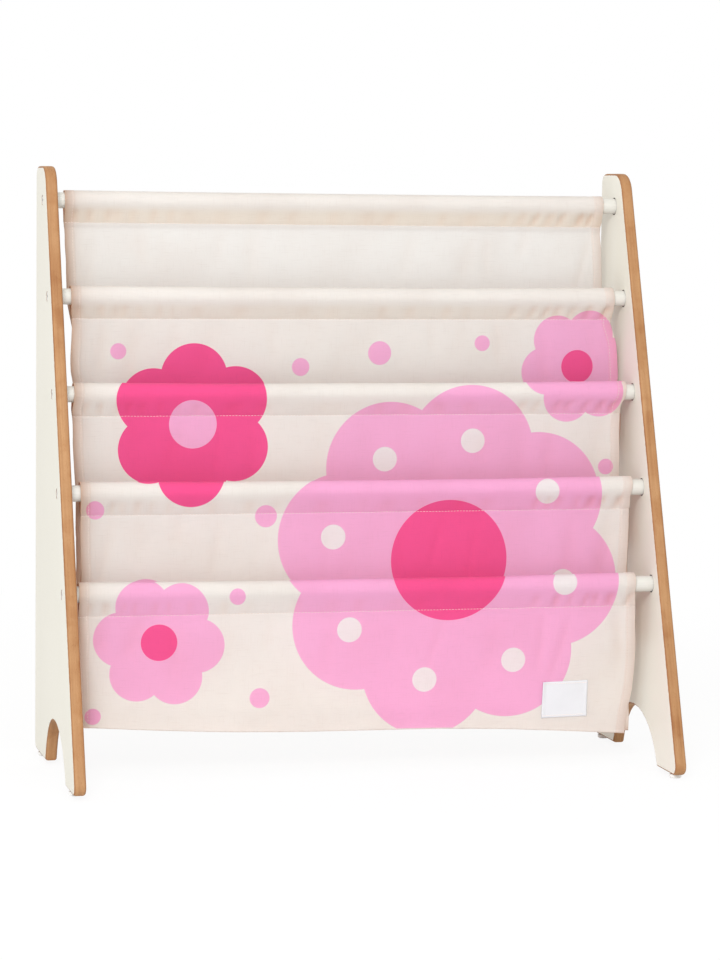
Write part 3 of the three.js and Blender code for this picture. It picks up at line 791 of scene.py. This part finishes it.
def panel_material():
    """Painted board with bare edges: satin off-white paint on the two flat faces, with a faint roller
    texture, and brown wood wherever the surface leaves those faces, streaked and clouded along the edge,
    with painted shade that makes it darker along its two rounded corners and darkest inside the bores."""
    recipe = Recipe("painted_board")
    place = recipe.object_place()
    parts = recipe.add("ShaderNodeSeparateXYZ", {0: place})
    inner_corner, outer_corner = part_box("side_panel_right")
    from_middle = recipe.sum("ABSOLUTE", parts.outputs["X"])
    outer = recipe.sum("SUBTRACT", outer_corner.x, from_middle)
    inner = recipe.sum("SUBTRACT", from_middle, inner_corner.x)
    depth = recipe.sum("MINIMUM", outer, inner)
    ragged = recipe.sum("MULTIPLY", recipe.noise(place, 260.0, 2.0), 0.00025)
    bare = recipe.step(recipe.sum("SUBTRACT", depth, ragged), 0.00008, 0.0002)
    streaks = recipe.noise(recipe.scaled(place, (380.0, 13.0, 13.0)), 1.0, 4.0, 0.6)
    pores = recipe.noise(recipe.scaled(place, (1500.0, 420.0, 420.0)), 1.0, 2.0, 0.6)
    clouds = recipe.noise(place, 16.0)
    patches = recipe.noise(place, 55.0, 2.0)
    wood = recipe.blend(streaks, colour(145, 99, 60), colour(195, 152, 108))
    wood = recipe.tint(wood, recipe.step(pores, 0.52, 0.75), (0.86, 0.8, 0.74))
    wood = recipe.tint(wood, recipe.step(clouds, 0.42, 0.68), (0.88, 0.8, 0.72))
    wood = recipe.tint(wood, recipe.step(patches, 0.5, 0.72), (0.9, 0.83, 0.76))
    # Painted shade along the two rounded corners of the bare edge
    wood = recipe.tint(wood, recipe.step(depth, 0.0019, 0.0004), (0.8, 0.7, 0.62))
    section = {"X": parts.outputs["Y"], "Y": parts.outputs["Z"]}
    section = recipe.add("ShaderNodeCombineXYZ", section).outputs["Vector"]
    # Painted shade inside the rails' bores: dark brown in circles round the rails' ends, below the panel's
    # faces
    bore_shade_circles = 0.0
    for number in range(1, RAILS + 1):
        bore_shade_circles = recipe.sum("MAXIMUM", bore_shade_circles, near(recipe, section, *rail_middle(number), BORE_RADIUS))
    bore_shade = recipe.sum("MULTIPLY", bore_shade_circles, recipe.step(depth, 0.0003, 0.0009))
    wood = recipe.blend(bore_shade, wood, colour(62, 42, 30))
    paint = recipe.blend(recipe.noise(place, 9.0), colour(223, 220, 208), colour(229, 226, 215))
    roller = recipe.noise(place, 420.0, 3.0, 0.55)
    painted = recipe.surface(paint, recipe.step(roller, -1.2, 2.6), recipe.bump(roller, 0.00006, 0.35),
                             Specular_IOR_Level=0.4)
    wood_normal = recipe.bump(recipe.sum("ADD", streaks, pores), 0.00012, 0.5)
    raw = recipe.surface(wood, 0.62, wood_normal, Specular_IOR_Level=0.3)
    return recipe.finish(recipe.mixed(bare, painted, raw))


def rail_material():
    """White satin paint on turned wood, with faint lines round the rail."""
    recipe = Recipe("rail_paint")
    place = recipe.object_place()
    rings = recipe.noise(recipe.scaled(place, (700.0, 40.0, 40.0)), 1.0, 2.0)
    paint = recipe.blend(recipe.noise(place, 60.0), colour(205, 203, 197), colour(212, 210, 204))
    return recipe.finish(recipe.surface(paint, 0.38, recipe.bump(rings, 0.00004, 0.4)))


def steel_material(name, light):
    """Zinc-plated steel: bright, with cloudy roughness and fine turning marks."""
    recipe = Recipe(name)
    place = recipe.object_place()
    cloudy = recipe.noise(place, 500.0)
    paint = recipe.blend(cloudy, colour(light - 22, light - 20, light - 16), colour(light, light, light - 2))
    normal = recipe.bump(recipe.noise(place, 2600.0), 0.00003, 0.4)
    return recipe.finish(recipe.surface(paint, recipe.step(cloudy, -0.8, 2.6), normal, Metallic=1.0))


def glide_material():
    """Off-white moulded plastic with a fine matt grain."""
    recipe = Recipe("glide_plastic")
    place = recipe.object_place()
    grain = recipe.noise(place, 1500.0, 2.0)
    paint = recipe.blend(recipe.noise(place, 220.0), colour(226, 226, 224), colour(238, 238, 236))
    return recipe.finish(recipe.surface(paint, 0.45, recipe.bump(grain, 0.00003, 0.5)))


# Cloth lengths


def joined(parts):
    """Y and Z of a cloth's path from those of its parts, one after the other."""
    return np.concatenate([y for y, _ in parts]), np.concatenate([z for _, z in parts])


def sling_surface(index, places):
    """Middle surface of one pocket: sleeve, back wall, half-elliptical bottom, and front wall up to the
    next rail's seam. Both walls lean in towards the bottom, eased, and the whole sways in waves."""
    y, z = rail_middle(index + 1)
    next_y, next_z = rail_middle(index + 2)
    back_y, front_y = y - LAYER_STEP / 2, next_y + 1.5 * LAYER_STEP
    back_seam, front_seam = z - SEAM_DROP, next_z - SEAM_DROP - LAYER_GAP
    sway = SWAY * sway_wave(places, index)
    bottom = next_z - POCKET_DROP + SWAY_HEIGHT * sway_wave(places + SWAY_WIDTH / 4, index)
    round_z = bottom + POCKET_ROUND
    turns = np.linspace(0, np.pi, BOTTOM_STEPS + 1)[1:, None]
    middle_y, half_width = (back_y + front_y) / 2, (back_y - front_y) / 2 - WALL_LEAN
    rise_z = round_z - (round_z - front_seam) * np.linspace(0.0, 1.0, RISE_STEPS + 1)[1:, None]
    leaned = smooth((front_seam - rise_z) / (front_seam - round_z))
    parts = [
        sleeve(index + 1, places, sleeve_lift(index, places)),
        falling_wall(back_y, back_seam, round_z, sway - WALL_LEAN, BACK_STEPS),
        (middle_y + sway + half_width * np.cos(turns), round_z - POCKET_ROUND * np.sin(turns)),
        (front_y + (sway + WALL_LEAN) * leaned, rise_z),
    ]
    last_row = SLEEVE_ROWS + len(SEAM_STEPS) + BACK_STEPS - 2
    return *joined(parts), (FIRST_ROW, last_row)


def fold_height(places):
    """Height of the front panel's bottom fold: a slope down to the right and one slow sine."""
    swing = FOLD_WAVE * np.sin(2 * np.pi * places / FOLD_WAVE_WIDTH)
    return FOLD_HEIGHT - FOLD_SLANT * places / (2 * HALF_WIDTH) + swing


def fold_place():
    """Place in depth of that fold, halfway between the two rails that carry the lowest pocket."""
    return (rail_middle(RAILS - 1)[0] + rail_middle(RAILS)[0]) / 2 - LAYER_STEP / 2


def lowest_back_surface(places):
    """Sleeve of the fourth rail, a wall that leans forward, eased, and a straight end down to 1 mm above
    the fold."""
    y, z = rail_middle(RAILS - 1)
    back_y, seam = y - LAYER_STEP / 2, z - SEAM_DROP
    fold = fold_height(places) + FOLD_RADIUS
    hem_top = fold + BOTTOM_HEM
    fall = np.linspace(0, 1, HEM_STEPS + 1)[1:, None]
    parts = [
        sleeve(RAILS - 1, places, sleeve_lift(RAILS - 2, places)),
        falling_wall(back_y, seam, hem_top, fold_place() - back_y, LOWEST_STEPS),
        (fold_place() + 0 * fall * places, hem_top + (fold + 1.0 - hem_top) * fall),
    ]
    last_row = SLEEVE_ROWS + len(SEAM_STEPS) + LOWEST_STEPS + HEM_STEPS // 2 - 1
    return *joined(parts), (FIRST_ROW, last_row)


def front_surface(places):
    """Sleeve of the lowest rail, a wall that leans back, eased, and sways by a parabola, a half circle
    under the foot of the pocket's rear wall and a hem up behind it."""
    y, z = rail_middle(RAILS)
    front_y, seam = y - LAYER_STEP / 2, z - SEAM_DROP
    fold_y, fold_z = fold_place(), fold_height(places) + FOLD_RADIUS
    sway = SWAY * sway_wave(places, RAILS - 1)
    near_seam = np.array(SEAM_STEPS) / ABOUT_FRONT_LENGTH
    share = np.concatenate([near_seam, np.linspace(near_seam[-1], 1.0, FRONT_STEPS + 1)[1:]])[:, None]
    lean = fold_y - FOLD_RADIUS - front_y
    turns = np.pi + np.linspace(0, np.pi, HEM_STEPS + 1)[1:, None]
    rise = np.linspace(0, 1, HEM_STEPS)[1:, None]
    parts = [
        sleeve(RAILS, places, sleeve_lift(RAILS - 1, places)),
        (front_y + lean * smooth(share) + 4 * sway * share * (1 - share), seam + (fold_z - seam) * share),
        (fold_y + FOLD_RADIUS * np.cos(turns) + 0 * places, fold_z + FOLD_RADIUS * np.sin(turns)),
        (fold_y + FOLD_RADIUS + 0 * rise * places, fold_z + BOTTOM_HEM * rise),
    ]
    last_row = SLEEVE_ROWS + len(SEAM_STEPS) + FRONT_STEPS - 1
    return *joined(parts), (FIRST_ROW, last_row)


def add_cloth(canvas, thread):
    """The five lengths of canvas with their stitches: along the seam, down both side hems and, on the
    front panel, along its bottom hem. Returns the points of the front panel's printed side and the last
    of its rows that shows in front."""
    places = cloth_places()
    surfaces = [sling_surface(i, places) for i in range(RAILS - 2)]
    surfaces += [lowest_back_surface(places), front_surface(places)]
    names = [f"sling_{i + 1}" for i in range(RAILS - 1)] + ["front_panel"]
    stitched = HEM_COLUMNS.index(HEM_STITCH)
    for band, (y, z, front_rows) in enumerate(surfaces):
        piece, surface, normal, along = cloth_piece(f"cloth_{names[band]}", band, y, z, front_rows, canvas)
        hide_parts(names[band])
        lines = [(surface[SEAM_ROW], normal[SEAM_ROW], STITCH_PITCH, 2.0, 2.0)]
        for column in (stitched, len(places) - 1 - stitched):
            side = slice(front_rows[0] - 8, front_rows[1])
            lines.append((surface[side, column], normal[side, column], STITCH_PITCH, 1.0, 3.0))
        if band == RAILS - 1:
            lines.append((surface[-3], normal[-3], STITCH_PITCH, 2.0, 2.0))
        stitches = add_stitches(f"stitches_{names[band]}", lines, thread)
    return surface, front_rows[1]


def panel_depth(x, z, surface, last_row):
    """Y of the front panel's printed side behind a grid of places: for each column of the grid, between
    the two nearest columns of the cloth and by height along them. level_row is a row of the panel's wall
    that tells where the cloth's columns are."""
    level_row = 60
    columns = np.arange(surface.shape[1])
    y = np.zeros_like(z)
    for i in range(z.shape[1]):
        column = np.interp(x[len(x) // 2, i], surface[level_row, :, 0], columns)
        whole = int(column)
        for part, weight in ((whole, 1 - column + whole), (whole + 1, column - whole)):
            line = surface[SEAM_ROW:last_row + 1, part]
            y[:, i] += weight * np.interp(-z[:, i], -line[:, 2], line[:, 1])
    return y


def add_label(surface, last_row, thread):
    """Bare label sewn to the front panel: a thin tape that follows the cloth, turned by a small angle,
    with its sides folded under and its left edge curling off."""
    low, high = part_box("label_patch")
    left, right, bottom, top = (MM_IN_METRE * v for v in (low.x, high.x, low.z, high.z))
    across = np.linspace(0, 1, 41)
    down = np.linspace(0, 1, 33)[:, None]
    x = left + (right - left) * across + LABEL_TURN * (down - 0.5) * (top - bottom)
    z = top - (top - bottom) * down + LABEL_TURN * (x - (left + right) / 2)
    y = panel_depth(x, z, surface, last_row)
    out_y, out_z = outward(y, z)
    from_side = np.minimum(across, 1 - across) * (right - left)
    folded = 1 - smooth((from_side - LABEL_FOLD_WIDTH) / HEM_STEP)
    thickness = LABEL_TAPE + LABEL_FOLD * folded[None, :] + 0 * y
    curled = smooth((LABEL_CURL_SHARE - across) / LABEL_CURL_SHARE)
    curl = LABEL_CURL * curled[None, :] * (0.6 + 0.4 * np.cos(3.0 * down))
    stand = LABEL_CLEARANCE + thickness / 2 + curl
    y, z = y + stand * out_y, z + stand * out_z
    vertices, quads = closed_shell(x, y, z, out_y, out_z, thickness)
    piece = add_mesh("label_tape", vertices, quads, tape_material())
    set_corner_map(piece, "weave", quads, x - left, top - z)
    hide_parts("label_patch")
    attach(piece, "root")
    face = shifted(x, y, z, out_y, out_z, thickness / 2)
    facing = np.stack([0 * x, out_y, out_z], -1)
    lines = [(face[row], facing[row], LABEL_STITCH_PITCH, 2.5, 2.5) for row in (2, -3)]
    stitches = add_stitches("stitches_label", lines, thread)


# Hardware and stage


def finish_hardware():
    """Materials of the pieces that keep their CAD shapes."""
    panel, rail, glide = panel_material(), rail_material(), glide_material()
    bolt, insert = steel_material("bolt_zinc", 242), steel_material("insert_zinc", 196)
    kinds = (("side_panel", panel), ("rail", rail), ("glide", glide), ("bolt", bolt), ("insert", insert))
    for name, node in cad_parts.items():
        for start, material in kinds:
            if name.startswith(start):
                node.data.materials.clear()
                node.data.materials.append(material)


def add_floor():
    """Pale floor that keeps the object's shadow: diffuse, but where it is seen nine parts white light to
    one part diffuse near the object, and all white further off."""
    recipe = Recipe("studio_floor")
    away = recipe.add("ShaderNodeVectorMath", {0: recipe.object_place()}, operation="LENGTH")
    faded = recipe.step(away.outputs["Value"], 0.45, 1.4)
    path = recipe.add("ShaderNodeLightPath")
    mirrored = recipe.sum("ADD", path.outputs["Is Glossy Ray"], path.outputs["Is Transmission Ray"])
    seen = recipe.sum("MINIMUM", recipe.sum("ADD", path.outputs["Is Camera Ray"], mirrored), 1.0)
    share = recipe.sum("MULTIPLY", seen, recipe.sum("ADD", 0.9, recipe.sum("MULTIPLY", faded, 0.1)))
    plain = recipe.add("ShaderNodeBsdfDiffuse", {"Color": (0.9, 0.9, 0.9, 1.0)}).outputs["BSDF"]
    white = recipe.add("ShaderNodeEmission", {"Color": (1.0, 1.0, 1.0, 1.0), "Strength": 1.0})
    material = recipe.finish(recipe.mixed(share, plain, white.outputs["Emission"]))
    corners = 4000.0 * np.array([(-1.0, -1.0, 0.0), (1.0, -1.0, 0.0), (1.0, 1.0, 0.0), (-1.0, 1.0, 0.0)])
    floor = add_mesh("floor", corners, np.array([[0, 1, 2, 3]]), material, smooth_shading=False)


def add_surroundings():
    """World that lights the room softly and shows as plain white."""
    world = bpy.data.worlds.new("studio")
    bpy.context.scene.world = world
    world.use_nodes = True
    nodes, links = world.node_tree.nodes, world.node_tree.links
    nodes.clear()
    path = nodes.new("ShaderNodeLightPath")
    seen = nodes.new("ShaderNodeMath")
    seen.operation = "MAXIMUM"
    links.new(path.outputs["Is Camera Ray"], seen.inputs[0])
    links.new(path.outputs["Is Glossy Ray"], seen.inputs[1])
    mix = nodes.new("ShaderNodeMixShader")
    links.new(seen.outputs[0], mix.inputs[0])
    for socket, tone, strength in ((1, (1.0, 0.985, 0.965, 1.0), 0.84), (2, (1.0, 1.0, 1.0, 1.0), 1.0)):
        light = nodes.new("ShaderNodeBackground")
        light.inputs["Color"].default_value = tone
        light.inputs["Strength"].default_value = strength
        links.new(light.outputs[0], mix.inputs[socket])
    output = nodes.new("ShaderNodeOutputWorld")
    links.new(mix.outputs[0], output.inputs["Surface"])


def add_lamps():
    """Soft square lamps aimed at the middle of the object: place, size, power and tone."""
    lamps = (
        ("key", (-1.05, -2.6, 1.75), 0.8, 59.0, (0.985, 1.0, 1.0)),
        ("fill", (-2.4, -0.9, 0.7), 1.6, 2.0, (1.0, 0.99, 0.98)),
        ("top", (0.2, -0.3, 2.3), 1.8, 2.0, (0.97, 1.0, 1.0)),
    )
    for name, place, size, power, tone in lamps:
        data = bpy.data.lights.new(name, "AREA")
        data.shape, data.size, data.energy, data.color = "SQUARE", size, power, tone
        lamp = bpy.data.objects.new(name, data)
        bpy.context.scene.collection.objects.link(lamp)
        aim = np.array([0.0, 0.0, 0.3]) - np.array(place)
        lamp.matrix_world = looking(place, aim, np.array([0.0, 0.0, 1.0]))


def looking(place, aim, up):
    """Placement whose -Z axis looks along aim, with its Y axis as near to up as it can be."""
    back = -aim / np.linalg.norm(aim)
    right = np.cross(up, back)
    right = right / np.linalg.norm(right)
    turned = np.eye(4)
    turned[:3] = np.stack([right, np.cross(back, right), back, place], -1)
    return Matrix(turned.tolist())


def add_camera():
    """Camera of the photograph: yaw, then pitch down, then roll."""
    forward = np.array([np.sin(CAMERA_YAW) * np.cos(CAMERA_PITCH), np.cos(CAMERA_YAW) * np.cos(CAMERA_PITCH),
                        -np.sin(CAMERA_PITCH)])
    level = np.array([np.cos(CAMERA_YAW), -np.sin(CAMERA_YAW), 0.0])
    raised = np.cross(level, forward)
    top = -level * np.sin(CAMERA_ROLL) + raised * np.cos(CAMERA_ROLL)
    data = bpy.data.cameras.new("photo_camera")
    data.lens, data.sensor_width = CAMERA_LENS, SENSOR_WIDTH
    data.clip_start, data.clip_end = 0.05, 50.0
    camera = bpy.data.objects.new("photo_camera", data)
    bpy.context.scene.collection.objects.link(camera)
    camera.matrix_world = looking(CAMERA_PLACE, forward, top)
    bpy.context.scene.camera = camera


def main():
    """The cloth, the label, the finishes of the CAD pieces, and the stage."""
    canvas, thread = canvas_material(), thread_material()
    surface, last_row = add_cloth(canvas, thread)
    add_label(surface, last_row, thread)
    finish_hardware()
    add_floor()
    add_surroundings()
    add_lamps()
    add_camera()


main()
bpy.context.scene.view_settings.view_transform = "Standard"
